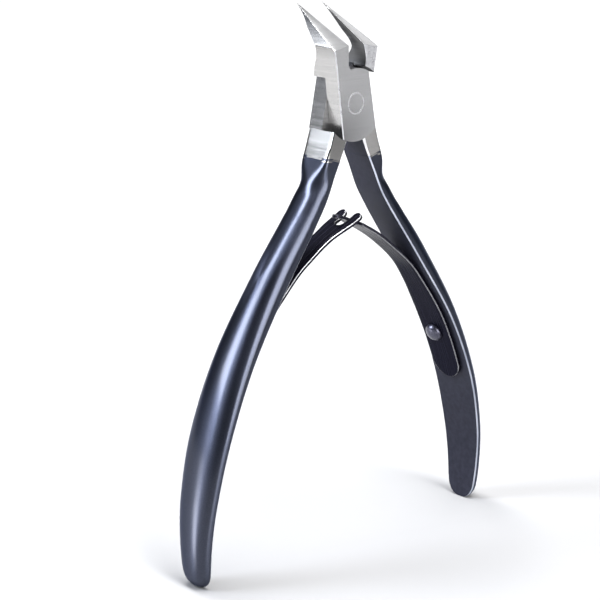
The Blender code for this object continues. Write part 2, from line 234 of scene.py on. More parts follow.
# How far to each side of its joint a spring bends.
FORK_LENGTH = 5.45
FORK_NOTCH = 2.3
TONGUE_LENGTH = 5.0
TONGUE_TAPER = 1.4
TONGUE_WIDTH = 1.9

RIVET_HEIGHT = -59.0
RIVET_SETBACK = 1.1
RIVET_HEAD_RADIUS = 2.3
RIVET_HEAD_HEIGHT = 1.7
RIVET_RIM = 0.18
RIVET_SUNK = 0.15
RIVET_FOOT_SHARE = 0.8


# ---- mesh helpers ----


def new_piece(name, work, *materials):
    """An object from a bmesh drawn in millimetres in the tool's frame."""
    bmesh.ops.recalc_face_normals(work, faces=work.faces)
    work.transform(Matrix.Scale(MM, 4))
    mesh = bpy.data.meshes.new(name)
    work.to_mesh(mesh)
    work.free()
    mesh.shade_smooth()
    for material in materials:
        mesh.materials.append(material)
    piece = bpy.data.objects.new(name, mesh)
    bpy.context.scene.collection.objects.link(piece)
    return piece


def sharpen(piece, degrees=SHARP_ANGLE):
    """Shade a piece sharp where its faces meet at more than an angle."""
    piece.data.set_sharp_from_angle(angle=math.radians(degrees))
    return piece


def settle(piece):
    """Replace a piece's mesh by what its modifiers make of it."""
    graph = bpy.context.evaluated_depsgraph_get()
    made = bpy.data.meshes.new_from_object(piece.evaluated_get(graph))
    piece.modifiers.clear()
    piece.data = made
    return piece


def boolean(target, tool, operation):
    """Join or cut with a tool, which is used up."""
    modifier = target.modifiers.new(tool.name, "BOOLEAN")
    modifier.operation = operation
    modifier.solver = "EXACT"
    modifier.object = tool
    settle(target)
    bpy.data.objects.remove(tool)


def arc(radius, start, end, steps, centre=(0.0, 0.0)):
    """Points (x, z) on a circle, at angles in degrees from +X towards +Z."""
    points = []
    for step in range(steps + 1):
        angle = math.radians(start + (end - start) * step / steps)
        points.append(
            (centre[0] + radius * math.cos(angle), centre[1] + radius * math.sin(angle))
        )
    return points


def prism(outline, front, back):
    """A closed solid: an outline in X and Z, from depth front to depth back."""
    work = bmesh.new()
    near = [work.verts.new((x, front, z)) for x, z in outline]
    far = [work.verts.new((x, back, z)) for x, z in outline]
    work.faces.new(near)
    work.faces.new(list(reversed(far)))
    for index in range(len(outline)):
        following = (index + 1) % len(outline)
        work.faces.new((near[index], far[index], far[following], near[following]))
    return work


def skin(work, first, second):
    """Faces from one closed loop of verts to the next."""
    for index in range(len(first)):
        following = (index + 1) % len(first)
        work.faces.new((first[index], first[following], second[following], second[index]))


def loft(rings):
    """A closed solid through rings of equally many points."""
    work = bmesh.new()
    loops = [[work.verts.new(point) for point in ring] for ring in rings]
    for first, second in zip(loops, loops[1:]):
        skin(work, first, second)
    work.faces.new(loops[0])
    work.faces.new(list(reversed(loops[-1])))
    return work


def paint(work, count, rows, looks):
    """Give the faces in a loft's first rows their material slots, by column."""
    work.faces.ensure_lookup_table()
    for row in range(rows):
        for column, look in looks.items():
            work.faces[row * count + column % count].material_index = look


def turned(profile, base, axis, steps=64):
    """A closed solid turned about an axis, from (radius, height) points."""
    axis = Vector(axis).normalized()
    side = axis.orthogonal().normalized()
    across = axis.cross(side)
    rings = []
    for radius, height in profile:
        centre = Vector(base) + axis * height
        ring = []
        for step in range(steps):
            angle = 2.0 * math.pi * step / steps
            ring.append(centre + (side * math.cos(angle) + across * math.sin(angle)) * radius)
        rings.append(ring)
    return loft(rings)


def smooth_value(table, at, column):
    """A Catmull-Rom curve through table rows, whose first column is the position."""
    rows = sorted(table)
    at = min(max(at, rows[0][0]), rows[-1][0])
    low = max(index for index, row in enumerate(rows[:-1]) if row[0] <= at)
    high = low + 1

    def slope(index):
        before, after = max(index - 1, 0), min(index + 1, len(rows) - 1)
        return (rows[after][column] - rows[before][column]) / (rows[after][0] - rows[before][0])

    span = rows[high][0] - rows[low][0]
    t = (at - rows[low][0]) / span
    return (
        (2 * t**3 - 3 * t**2 + 1) * rows[low][column]
        + (t**3 - 2 * t**2 + t) * span * slope(low)
        + (3 * t**2 - 2 * t**3) * rows[high][column]
        + (t**3 - t**2) * span * slope(high)
    )


def swing_open(work, side):
    """Swing a half drawn with its jaws shut out to rest; side is its handle's side."""
    work.transform(Matrix.Rotation(math.radians(-side * OPEN_HALF_ANGLE), 4, "Y"))


# ---- materials ----

# Cells per metre of the brushed steel's texture, flat enough to look like level scratches.
SCRATCH_SCALE = (70.0, 70.0, 2600.0)
STEEL_PATCH = (0.5, 0.5, 0.51)
# Colours of the painted shade at the tips and round the foot's corner.
STEEL_SHADED = (0.05, 0.05, 0.051)
FOOT_SHADE_COLOUR = (0.2, 0.2, 0.203)
# Painted shade darkens the plate round its lower left corner, this far in metres.
FOOT_CORNER = (-0.0045, 0.0, -0.0085)
FOOT_REACH = 0.012
# Dark and light colour, roughness, the heights in metres where a painted shade starts and is
# full, how strong it is there, and how strong the painted shade round the foot's corner is.
GROUND_STEEL = ((0.53, 0.53, 0.535), (0.58, 0.58, 0.585), (0.2, 0.26), (0.017, 0.0215, 0.6), 0.85)
# A very dark copy of the ground steel for the jaws' hollows: painted shade.
HOLLOW_SHADE_STEEL = ((0.025, 0.025, 0.025), (0.045, 0.045, 0.045), (0.3, 0.4), *GROUND_STEEL[3:])
# Darker copies of the ground steel for the outer sides: painted shade, darker still towards the
# tip on the right half and towards the top on the left.
FLANK_SHADE_STEEL = {
    RIGHT: (
        (0.41, 0.402, 0.388),
        (0.46, 0.451, 0.435),
        (0.2, 0.26),
        (0.0098, 0.0178, 0.98),
        0.1,
    ),
    LEFT: (
        (0.24, 0.235, 0.225),
        (0.28, 0.274, 0.262),
        (0.2, 0.26),
        (-0.014, 0.005, 0.72),
        0.0,
    ),
}


class Nodes:
    """Short calls for building one material's nodes."""

    def __init__(self, name):
        self.material = bpy.data.materials.new(name)
        self.material.use_nodes = True
        self.tree = self.material.node_tree
        self.shader = self.tree.nodes["Principled BSDF"]

    def set(self, **values):
        for socket, value in values.items():
            self.shader.inputs[socket.replace("_", " ")].default_value = value

    def add(self, kind, **settings):
        node = self.tree.nodes.new(kind)
        for key, value in settings.items():
            setattr(node, key, value)
        return node

    def link(self, source, target):
        self.tree.links.new(source, target)

    def place(self, source, scale=(1.0, 1.0, 1.0), turn=(0.0, 0.0, 0.0)):
        """Coordinates from a texture coordinate output, scaled and then turned."""
        coordinates = self.add("ShaderNodeTexCoord")
        mapping = self.add("ShaderNodeMapping", vector_type="POINT")
        mapping.inputs["Rotation"].default_value = turn
        mapping.inputs["Scale"].default_value = scale
        self.link(coordinates.outputs[source], mapping.inputs["Vector"])
        return mapping.outputs["Vector"]

    def noise(self, vector, detail, rough=0.5):
        noise = self.add("ShaderNodeTexNoise")
        noise.inputs["Scale"].default_value = 1.0
        noise.inputs["Detail"].default_value = detail
        noise.inputs["Roughness"].default_value = rough
        self.link(vector, noise.inputs["Vector"])
        return noise.outputs["Fac"]

    def grain(self, density, detail):
        """Noise of the same size in all directions, in cells per metre."""
        return self.noise(self.place("Object", (density, density, density)), detail)

    def span(self, value, low, high, start=0.3, end=0.7):
        """A value from start to end, remapped to low to high."""
        remap = self.add("ShaderNodeMapRange")
        remap.inputs["From Min"].default_value = start
        remap.inputs["From Max"].default_value = end
        remap.inputs["To Min"].default_value = low
        remap.inputs["To Max"].default_value = high
        self.link(value, remap.inputs["Value"])
        return remap.outputs["Result"]

    def axis(self, source, letter):
        """One axis of a texture coordinate output."""
        parts = self.add("ShaderNodeSeparateXYZ")
        self.link(self.place(source), parts.inputs["Vector"])
        return parts.outputs[letter]

    def dot(self, vector, direction):
        product = self.add("ShaderNodeVectorMath", operation="DOT_PRODUCT")
        self.link(vector, product.inputs[0])
        product.inputs[1].default_value = direction
        return product.outputs["Value"]

    def maths(self, operation, *values):
        node = self.add("ShaderNodeMath", operation=operation)
        for socket, value in zip(node.inputs, values):
            self.link(value, socket)
        return node.outputs["Value"]

    def mix(self, factor, first, second):
        mix = self.add("ShaderNodeMix", data_type="RGBA")
        for socket, value in ((0, factor), (6, first), (7, second)):
            if isinstance(value, tuple):
                mix.inputs[socket].default_value = (*value, 1.0)
            else:
                self.link(value, mix.inputs[socket])
        return mix.outputs[2]

    def tones(self, texture, dark, light):
        """A colour that goes from dark to light with a texture."""
        return self.mix(self.span(texture, 0.0, 1.0), dark, light)

    def surface(self, colour, texture, roughness):
        """Link a colour, and a roughness that follows a texture from low to high."""
        self.link(colour, self.shader.inputs["Base Color"])
        self.link(self.span(texture, *roughness), self.shader.inputs["Roughness"])

    def bump(self, height, strength, distance):
        bump = self.add("ShaderNodeBump")
        bump.inputs["Strength"].default_value = strength
        bump.inputs["Distance"].default_value = distance
        self.link(height, bump.inputs["Height"])
        self.link(bump.outputs["Normal"], self.shader.inputs["Normal"])


def brushed_steel(name, side, dark, light, roughness, shade, foot_shade):
    """Ground steel with fine level scratches, with painted shade at the tips and round the foot.
    """
    nodes = Nodes(name)
    nodes.set(Metallic=1.0)
    turn = (0.0, side * math.radians(OPEN_HALF_ANGLE), 0.0)
    fine = nodes.noise(nodes.place("Object", SCRATCH_SCALE, turn), 3.0, 0.6)
    patches = nodes.grain(90.0, 1.0)
    colour = nodes.tones(fine, dark, light)
    colour = nodes.mix(nodes.span(patches, 0.0, 0.12), colour, STEEL_PATCH)
    # Painted shade: darker towards the tips, and round the plate's lower left corner.
    shade_start, shade_end, shade_amount = shade
    tip_shade = nodes.span(nodes.axis("Object", "Z"), 0.0, shade_amount, shade_start, shade_end)
    colour = nodes.mix(tip_shade, colour, STEEL_SHADED)
    corner = nodes.add("ShaderNodeVectorMath", operation="DISTANCE")
    nodes.link(nodes.place("Object"), corner.inputs[0])
    corner.inputs[1].default_value = FOOT_CORNER
    corner_shade = nodes.span(corner.outputs["Value"], foot_shade, 0.0, 0.0, FOOT_REACH)
    colour = nodes.mix(corner_shade, colour, FOOT_SHADE_COLOUR)
    nodes.surface(colour, fine, roughness)
    nodes.bump(fine, 0.25, 0.00002)
    return nodes.material


def stretch_along(nodes, amount):
    """Draw highlights out along the length of the handles."""
    tangent = nodes.add("ShaderNodeTangent", direction_type="RADIAL", axis="Z")
    nodes.link(tangent.outputs["Tangent"], nodes.shader.inputs["Tangent"])
    nodes.set(Anisotropic=amount, Anisotropic_Rotation=0.25)


def blue_coat():
    """Glossy dark blue lacquer with a fine metallic flake and a few soft waves."""
    nodes = Nodes("blue_coat_visual")
    nodes.set(Metallic=1.0, Specular_Tint=(0.35, 0.38, 0.5, 1.0))
    nodes.set(Coat_Weight=0.45, Coat_Roughness=0.16, Coat_IOR=1.45)
    stretch_along(nodes, 0.8)
    flake = nodes.grain(6000.0, 1.0)
    waves = nodes.noise(nodes.place("Object", (160.0, 160.0, 40.0)), 2.0)
    colour = nodes.tones(flake, dark=(0.036, 0.041, 0.062), light=(0.052, 0.058, 0.083))
    nodes.surface(colour, waves, roughness=(0.3, 0.34))
    nodes.bump(waves, 0.1, 0.00003)
    return nodes.material


def satin_coat():
    """The same lacquer on the flat inner faces, where it dries satin."""
    nodes = Nodes("blue_coat_satin")
    nodes.set(Metallic=0.3, Specular_IOR_Level=0.12)
    grain = nodes.grain(900.0, 3.0)
    colour = nodes.tones(grain, dark=(0.02, 0.021, 0.032), light=(0.03, 0.031, 0.046))
    nodes.surface(colour, grain, roughness=(0.42, 0.5))
    nodes.bump(grain, 0.08, 0.00002)
    return nodes.material


def coat_edge_highlight():
    """Painted highlight on the lacquered edge of a handle's flat, as bright metal."""
    nodes = Nodes("coat_edge_visual")
    nodes.set(Metallic=1.0)
    highlight_noise = nodes.noise(nodes.place("Object", (300.0, 300.0, 120.0)), 3.0)
    colour = nodes.tones(highlight_noise, dark=(0.4, 0.43, 0.52), light=(0.62, 0.65, 0.74))
    nodes.surface(colour, highlight_noise, roughness=(0.3, 0.4))
    return nodes.material


def rim_shade():
    """Painted shade on the lap plates' round rims and lap faces and in the recesses."""
    nodes = Nodes("dark_rim_visual")
    nodes.set(Metallic=0.6, Specular_IOR_Level=0.2)
    # A fine grain varies the tone of this painted shade.
    scale = nodes.grain(1200.0, 3.0)
    colour = nodes.tones(scale, dark=(0.012, 0.012, 0.014), light=(0.03, 0.03, 0.033))
    nodes.surface(colour, scale, roughness=(0.5, 0.65))
    return nodes.material


def spring_steel(name, paleness, sheen):
    """Dark blued spring steel, brushed along the strip and paler towards its free end."""
    nodes = Nodes(name)
    nodes.set(Metallic=0.7, Specular_IOR_Level=0.2 * sheen)
    nodes.set(Specular_Tint=(sheen, sheen, sheen, 1.0))
    fine = nodes.noise(nodes.place("UV", (40.0, 2500.0, 1.0)), 3.0, 0.6)
    patches = nodes.noise(nodes.place("UV", (60.0, 60.0, 1.0)), 2.0)
    colour = nodes.tones(fine, dark=(0.005, 0.005, 0.011), light=(0.016, 0.016, 0.029))
    colour = nodes.mix(nodes.span(patches, 0.0, 0.5), colour, (0.009, 0.009, 0.018))
    pale = nodes.span(nodes.axis("UV", "X"), 0.0, paleness, start=0.034, end=0.052)
    colour = nodes.mix(pale, colour, (0.05, 0.05, 0.062))
    nodes.surface(colour, fine, roughness=(0.22, 0.3))
    nodes.bump(fine, 0.2, 0.00001)
    return nodes.material


def edge_highlight(name, dark, light):
    """Painted highlight: brighter metal along an edge."""
    nodes = Nodes(name)
    nodes.set(Metallic=1.0)
    fine = nodes.grain(900.0, 2.0)
    nodes.surface(nodes.tones(fine, dark, light), fine, roughness=(0.25, 0.35))
    return nodes.material


def rivet_steel():
    """Blued steel with a thin clear finish."""
    nodes = Nodes("rivet_steel_visual")
    nodes.set(Metallic=0.9, Coat_Weight=0.4, Coat_Roughness=0.15)
    fine = nodes.grain(2500.0, 2.0)
    colour = nodes.tones(fine, dark=(0.055, 0.055, 0.08), light=(0.1, 0.1, 0.135))
    nodes.surface(colour, fine, roughness=(0.3, 0.4))
    nodes.bump(fine, 0.15, 0.00001)
    return nodes.material


# ---- handles ----

# Material slots of a handle after its glossy coat: the satin flat and a painted highlight on its
# edge.
COAT_FLAT = 1
COAT_HIGHLIGHT = 2


def flat_point(height, side):
    """A point in the middle of a handle's inner face, and the outward normal there."""
    reach = smooth_value(HANDLE_STATIONS, height, 1)
    step = 0.5
    lean = (
        smooth_value(HANDLE_STATIONS, height + step, 1)
        - smooth_value(HANDLE_STATIONS, height - step, 1)
    ) / (2.0 * step)
    normal = Vector((side, 0.0, -lean)).normalized()
    return Vector((side * reach, JOINT_DEPTH / 2.0, height)), normal


def evenly(curve, steps):
    """Points at equal lengths along a curve."""
    lengths = [0.0]
    for first, second in zip(curve, curve[1:]):
        lengths.append(lengths[-1] + (second - first).length)
    points = [tuple(curve[0])]
    at = 0
    for step in range(1, steps):
        goal = lengths[-1] * step / steps
        while lengths[at + 1] < goal:
            at += 1
        share = (goal - lengths[at]) / (lengths[at + 1] - lengths[at])
        points.append(tuple(curve[at].lerp(curve[at + 1], share)))
    points.append(tuple(curve[-1]))
    return points


def handle_ring(height, side, chamfer, grow=0.0, nose=1.0, drop=0.0):
    """A handle's section: a flat inner face, a chamfer on its edges and a domed side.

    With a drop, the section dips toward the outside, following the handle down.
    """
    middle, normal = flat_point(height, side)
    half = smooth_value(HANDLE_STATIONS, height, 2) / 2.0 * nose + grow
    dome = smooth_value(HANDLE_STATIONS, height, 3) * nose + grow
    power = smooth_value(HANDLE_STATIONS, height, 4)
    curve = []
    finer = 5 * DOME_STEPS
    for step in range(finer + 1):
        angle = math.pi * step / finer
        across = math.copysign(abs(math.cos(angle)) ** (2.0 / power), math.cos(angle)) * half
        out = chamfer + (dome - chamfer) * math.sin(angle) ** (2.0 / power)
        curve.append(Vector((across, out)))
    points = [(half - chamfer, -grow)] + evenly(curve, DOME_STEPS) + [(chamfer - half, -grow)]
    if not drop:
        return [middle + Vector((0.0, across, 0.0)) + normal * out for across, out in points]
    ring = []
    for across, out in points:
        farther = PAINT_DROP_OUTSIDE * (max(out, 0.0) / dome) ** 2
        lower = height - drop * (PAINT_DROP_INSIDE + farther)
        middle, normal = flat_point(lower, side)
        wider = smooth_value(HANDLE_STATIONS, lower, 2) / 2.0 / half
        deeper = smooth_value(HANDLE_STATIONS, lower, 3) / dome
        ring.append(middle + Vector((0.0, across * wider, 0.0)) + normal * (out * deeper))
    return ring


def make_handle(side, name, *materials):
    """The coated length of a handle. Its flat side has a rolled lip at the paint line."""
    chamfer = COAT_CHAMFER
    rings = []
    for inset, below in COAT_LIP_ROWS:
        grow = COAT_THICKNESS - inset
        rings.append(handle_ring(PAINT_LINE - below, side, chamfer, grow, drop=1.0))
    start = PAINT_LINE - COAT_LIP_LENGTH
    straight_end = HANDLE_END + HANDLE_NOSE
    steps = 120
    for step in range(steps):
        height = start + (straight_end - start) * step / steps
        drop = max(1.0 - (start - height) / PAINT_DROP_REACH, 0.0)
        rings.append(handle_ring(height, side, chamfer, COAT_THICKNESS, drop=drop))
    nose_steps = 14
    for step in range(nose_steps + 1):
        sweep = math.pi / 2.0 * step / nose_steps
        height = HANDLE_END + HANDLE_NOSE * (1.0 - math.sin(sweep))
        nose = max(math.cos(sweep), NOSE_SMALLEST) ** NOSE_POWER
        rings.append(handle_ring(height, side, chamfer * nose, nose=nose))
    work = loft(rings)
    paint(work, len(rings[0]), len(rings) - 1, {-1: COAT_FLAT, -2: COAT_HIGHLIGHT})
    return sharpen(new_piece(name, work, *materials), HANDLE_SHARP_ANGLE)


# ---- the two forged halves ----

# Material slots of a half that come after its ground faces: painted shade in a jaw's hollow,
# the coated flat, painted highlights on edges, painted shade on rims, lap faces and recesses,
# and painted shade on the outer sides.
SHADED_HOLLOW = 1
COATED = 2
HIGHLIGHT_EDGE = 3
PAINTED_SHADE = 4
SHADED_SIDE = 5


def half_outline(side):
    """The lap plate and jaw root seen from the front, jaw on -X and handle on +X."""
    relief = -JAW_INNER_EDGE[side][0][1]
    top_radius = LAP_TOP_RADII[side]
    foot_angle = -180.0 + math.degrees(math.acos(LAP_OUTER_FOOT / LAP_LOW_RADIUS))
    shoulder_angle = math.degrees(math.acos(LAP_INNER_SIDE / top_radius))
    arc_end = math.sqrt(top_radius**2 - relief**2)
    fillet_centre = (-relief + NOTCH_FILLET, arc_end + NOTCH_FILLET)
    notch_angle = math.degrees(math.acos(fillet_centre[0] / top_radius))
    low_steps, top_steps, fillet_steps = 48, 32, 8
    outline = [(-LAP_OUTER_TOP, BLOCK_TOP)]
    outline += arc(LAP_LOW_RADIUS, foot_angle, -LAP_CORNER_ANGLE, low_steps)
    outline += arc(top_radius, shoulder_angle, notch_angle, top_steps)
    outline += arc(NOTCH_FILLET, 270.0, 180.0, fillet_steps, fillet_centre)
    outline.append((-relief, BLOCK_TOP))
    return outline


def chamfered_plate(side):
    """The lap plate: painted shade on rims, lap face and sides, painted highlight on its
    chamfered edges.
    """
    middle = JOINT_DEPTH / 2.0
    if side == RIGHT:
        open_face, lap_face = 0.0, middle - LAP_GAP / 2.0
    else:
        open_face, lap_face = JOINT_DEPTH, middle + LAP_GAP / 2.0
    work = prism(half_outline(side), open_face, lap_face)
    work.normal_update()
    sideways = 0.9
    for face in work.faces:
        shortest = min(edge.calc_length() for edge in face.edges)
        if len(face.verts) == 4 and shortest < LONGEST_RIM_STEP:
            face.material_index = PAINTED_SHADE
        elif abs(face.normal.x) > sideways:
            face.material_index = SHADED_SIDE
        if all(vert.co.y == lap_face for vert in face.verts):
            face.material_index = PAINTED_SHADE
    edges = []
    for edge in work.edges:
        on_open_face = all(vert.co.y == open_face for vert in edge.verts)
        if on_open_face and edge.calc_length() > LONGEST_RIM_STEP:
            edges.append(edge)
    made = bmesh.ops.bevel(work, geom=edges, offset=EDGE_CHAMFER, segments=1, affect="EDGES")
    # The chamfers get the painted highlight.
    for face in made["faces"]:
        face.material_index = HIGHLIGHT_EDGE
    return work


def jaw_ring(corners, chamfers, swells):
    """Points round a four-cornered section with chamfers and swollen or hollowed sides."""
    ring = []
    for index in range(4):
        here, ahead = corners[index], corners[(index + 1) % 4]
        run = ahead - here
        length = max(run.length, 1e-6)
        start = min(chamfers[index] / length, JAW_CHAMFER_SHARE)
        end = 1.0 - min(chamfers[(index + 1) % 4] / length, JAW_CHAMFER_SHARE)
        for step in range(JAW_COLUMNS + 1):
            u = step / JAW_COLUMNS
            swell = swells[index] * math.sin(math.pi * u) ** JAW_SWELL_POWER
            ring.append(here + run * (start + (end - start) * u) + swell)
    return ring


def jaw_rear(height):
    """The outer and the inner corner of a jaw's rear side."""
    return [
        Vector((smooth_value(table, height, 1), smooth_value(table, height, 2), height))
        for table in (JAW_REAR_OUTER, JAW_REAR_INNER)
    ]


def jaw_rings(side):
    """Sections of one jaw and its root, on -X, from inside the joint to the tip.

    Their corners run from the inner front edge over the ridge to the rear side.
    """
    still = Vector((0.0, 0.0, 0.0))
    rings = []
    steps = JAW_ROOT_STEPS
    for step in range(steps):
        height = JAW_FOOT + (HEEL_HEIGHT - JAW_FOOT) * step / steps
        inner_edge = Vector((smooth_value(JAW_INNER_EDGE[side], height, 1), 0.0, height))
        ridge = Vector((-LAP_OUTER_TOP, 0.0, height))
        swells = (still, still, still, JAW_INWARD * (0.5 * JAW_HOLLOW))
        rings.append(jaw_ring([inner_edge, ridge] + jaw_rear(height), ROOT_CHAMFERS, swells))
    rise = TIP_HEIGHT - HEEL_HEIGHT
    steps, crowding = 44, 1.15
    belly_start, hollow_start, chamfer_loss = 0.08, 0.15, 0.9
    for step in range(steps + 1):
        t = (step / steps) ** crowding
        height = HEEL_HEIGHT + (JAW_REAR_OUTER[-1][0] - HEEL_HEIGHT) * t
        eased = (math.hypot(t, JAW_EASE) - JAW_EASE) / (math.hypot(1.0, JAW_EASE) - JAW_EASE)
        inner_edge = Vector((-EDGE_CLEARANCE, TIP_SETBACK * t, HEEL_HEIGHT + rise * t))
        ridge = Vector(
            (
                -RIDGE_START + (RIDGE_START - RIDGE_END) * eased,
                (TIP_SETBACK - RIDGE_SHORT) * t,
                HEEL_HEIGHT - RIDGE_SAG + (rise + RIDGE_EXTRA_RISE) * t,
            )
        )
        bulge = JAW_BELLY * min(t / belly_start, 1.0) * (1.0 - t) ** JAW_SWELL_POWER
        belly = JAW_OUTWARD * bulge
        hollow = JAW_INWARD * (
            JAW_HOLLOW * (0.5 + 0.5 * min(t / hollow_start, 1.0)) * (1.0 - t)
        )
        chamfers = [size * (1.0 - chamfer_loss * t) for size in JAW_CHAMFERS]
        swells = (belly, still, still, hollow)
        rings.append(jaw_ring([inner_edge, ridge] + jaw_rear(height), chamfers, swells))
    return rings


def jaw_solid(side):
    """One jaw and its root, with the looks of its four sides and chamfers."""
    rings = jaw_rings(side)
    work = loft(rings)
    stride = JAW_COLUMNS + 1
    count = 4 * stride
    # Painted shade on the hollow and on the right jaw's outer side. Painted highlights along the
    # cutting edge, and in the root on the front face of the left half and the ridge of the right.
    looks = {column: SHADED_HOLLOW for column in range(3 * stride, count)}
    looks[count - 1] = HIGHLIGHT_EDGE
    if side == RIGHT:
        looks.update({column: SHADED_SIDE for column in range(stride, stride + JAW_COLUMNS)})
    paint(work, count, len(rings) - 1, looks)
    bright_from = 0 if side == LEFT else JAW_COLUMNS
    paint(work, count, JAW_ROOT_STEPS, {column: HIGHLIGHT_EDGE for column in range(bright_from, stride)})
    return work


def stub_solid(side):
    """The bare top of a handle, whose inner face is coated up to the joint."""
    steps = 24
    end = PAINT_LINE - STUB_OVERLAP
    rings = []
    for step in range(steps + 1):
        height = HANDLE_TOP + (end - HANDLE_TOP) * step / steps
        rings.append(handle_ring(height, side, STUB_CHAMFER, drop=step / steps))
    work = loft(rings)
    count = len(rings[0])
    # The bare sides get the painted shade of the flanks, the inner face's edge a painted
    # highlight.
    looks = {column: SHADED_SIDE for column in range(count)}
    looks.update({count - 1: COATED, count - 2: HIGHLIGHT_EDGE})
    paint(work, count, steps, looks)
    return work


def recess_solid(side):
    """The room for the other half's lap plate, reaching out past the joint's face."""
    middle = JOINT_DEPTH / 2.0
    if side == RIGHT:
        near, far = middle - LAP_GAP / 2.0, JOINT_DEPTH + CUT_PAST
    else:
        near, far = -CUT_PAST, middle + LAP_GAP / 2.0
    steps = 72
    outline = arc(RECESS_TOP_RADII[side], 0.0, 180.0, steps)
    outline += arc(RECESS_LOW_RADIUS, 180.0, 360.0, steps)
    work = prism(outline, near, far)
    # The recess's cut faces get the painted shade.
    for face in work.faces:
        face.material_index = PAINTED_SHADE
    return work


def make_half(side, name, *materials):
    """One forging: jaw, lap plate and the bare top of the handle on the given side."""
    mirror = Matrix.Scale(side, 4, (1.0, 0.0, 0.0))
    plate = chamfered_plate(side)
    jaw = jaw_solid(side)
    for work in (plate, jaw):
        work.transform(mirror)
        swing_open(work, side)
    half = new_piece(name, plate, *materials)
    for word, work in (("_jaw", jaw), ("_stub", stub_solid(side))):
        part = new_piece(name + word, work, *materials)
        boolean(part, new_piece(name + "_recess", recess_solid(side), *materials), "DIFFERENCE")
        boolean(half, part, "UNION")
    if side == LEFT:
        radius = PIN_RADIUS + PIN_CLEARANCE
        profile = ((radius, JOINT_DEPTH - PIN_SUNK), (radius, JOINT_DEPTH + PIN_SUNK))
        bore = turned(profile, PIVOT, PIVOT_AXIS)
        boolean(half, new_piece(name + "_bore", bore, *materials), "DIFFERENCE")
    half.data.shade_smooth()
    return sharpen(half)


# ---- the pivot pin and the ring round it ----


def make_pin(material):
    """The flush end of the pivot pin, in the back face of the joint."""
    profile = (
        (PIN_RADIUS, JOINT_DEPTH - PIN_SUNK),
        (PIN_RADIUS, JOINT_DEPTH - PIN_CHAMFER),
        (PIN_RADIUS - PIN_CHAMFER, JOINT_DEPTH),
    )
    return sharpen(new_piece("pivot_pin_visual", turned(profile, PIVOT, PIVOT_AXIS), material))


def make_ring(material):
    """A plain thin ring marked on the front face round the pivot."""
    work = bmesh.new()
    steps = 96
    outer, inner = RING_RADIUS, RING_RADIUS - RING_WIDTH
    loops = []
    for radius, depth in (
        (outer, RING_SUNK),
        (outer, -RING_PROUD),
        (inner, -RING_PROUD),
        (inner, RING_SUNK),
    ):
        circle = arc(radius, 0.0, 360.0 * (steps - 1) / steps, steps - 1)
        loops.append([work.verts.new((x, depth, z)) for x, z in circle])
    for first, second in zip(loops, loops[1:] + loops[:1]):
        skin(work, first, second)
    return sharpen(new_piece("lap_ring", work, material))


# ---- leaf springs ----


def spring_table(side):
    """Lengths along the middle of a strip drawn on +X, with X and Z there."""
    offset = SPRING_GAP + SPRING_THICKNESS / 2.0
    knots = []
    steps = SPRING_LOW_STEPS
    for step in range(steps + 1):
        height = SPRING_LOW_END + (SPRING_LIFT_OFF[side] - SPRING_LOW_END) * step / steps
        middle, normal = flat_point(height, RIGHT)
        knots.append(middle - normal * offset)
    for x, z in SPRING_FREE_POINTS[side]:
        knots.append(Vector((x, JOINT_DEPTH / 2.0, z)))
    lengths = [0.0]
    for first, second in zip(knots, knots[1:]):
        lengths.append(lengths[-1] + (second - first).length)
    return [(length, knot.x, knot.z) for length, knot in zip(lengths, knots)]


def spring_frame(table, along):
    """The path's point and the inward normal at a length along the +X spring."""
    depth = JOINT_DEPTH / 2.0 + SPRING_SETBACK
    step = 0.2
    here = Vector((smooth_value(table, along, 1), depth, smooth_value(table, along, 2)))
    ahead, behind = min(along + step, table[-1][0]), max(along - step, 0.0)
    run = smooth_value(table, ahead, 1) - smooth_value(table, behind, 1)
    rise = smooth_value(table, ahead, 2) - smooth_value(table, behind, 2)
    return here, Vector((rise, 0.0, -run)).normalized()


def half_chord(radius, off):
    """Half the length of a circle's chord, off the centre by a distance."""
    return math.sqrt(max(radius**2 - off**2, 0.0))


def fork_edges(along, total, half):
    """(low, high) spans across the strip that hold metal, near the fork's end."""
    to_end = total - along
    if to_end > FORK_LENGTH:
        return [(-half, half)]
    notch_radius = FORK_NOTCH / 2.0
    into = FORK_LENGTH - to_end
    gap = notch_radius
    if into < notch_radius:
        gap = half_chord(notch_radius, notch_radius - into)
    prong = (half - notch_radius) / 2.0
    centre = notch_radius + prong
    if to_end < prong:
        reach = half_chord(prong, prong - to_end)
        return [(-centre - reach, -centre + reach), (centre - reach, centre + reach)]
    return [(-half, -gap), (gap, half)]


def strip_spans(side, table, along, tip):
    """The metal across a spring strip at a length along it, as a list of spans."""
    total = table[-1][0]
    half = smooth_value(SPRING_WIDTHS[side], along, 1) / 2.0
    foot_radius = half
    if along < foot_radius:
        half = half_chord(foot_radius, foot_radius - along)
    if tip == "fork":
        return fork_edges(along, total, half)
    start = total - TONGUE_LENGTH
    narrow = TONGUE_WIDTH / 2.0
    if along > start - TONGUE_TAPER:
        u = min((along - start + TONGUE_TAPER) / TONGUE_TAPER, 1.0)
        half = half + (narrow - half) * (u * u * (3.0 - 2.0 * u))
    if total - along < narrow:
        half = half_chord(narrow, narrow - total + along)
    return [(-half, half)]


def strip_stations(table, tip):
    """Lengths along the strip, closer together where its outline turns quickly."""
    total = table[-1][0]
    stations = {STRIP_FOOT_INSET, total - STRIP_END_INSET}
    for step in range(int(total / STRIP_SPACING)):
        stations.add((step + 0.5) * STRIP_SPACING)
    foot_turn, notch_turn, just_past = 4.1, 1.2, 0.001
    turns = [(STRIP_FOOT_INSET, foot_turn)]
    if tip == "fork":
        turns.append((total - FORK_LENGTH + just_past, notch_turn))
        end_turn = 1.0
    else:
        turns.append((total - TONGUE_LENGTH - TONGUE_TAPER, TONGUE_TAPER))
        end_turn = 0.9
    turns.append((total - end_turn, end_turn - STRIP_END_INSET))
    steps = 14
    for start, length in turns:
        for step in range(steps + 1):
            stations.add(start + length * step / steps)
    return sorted(stations)


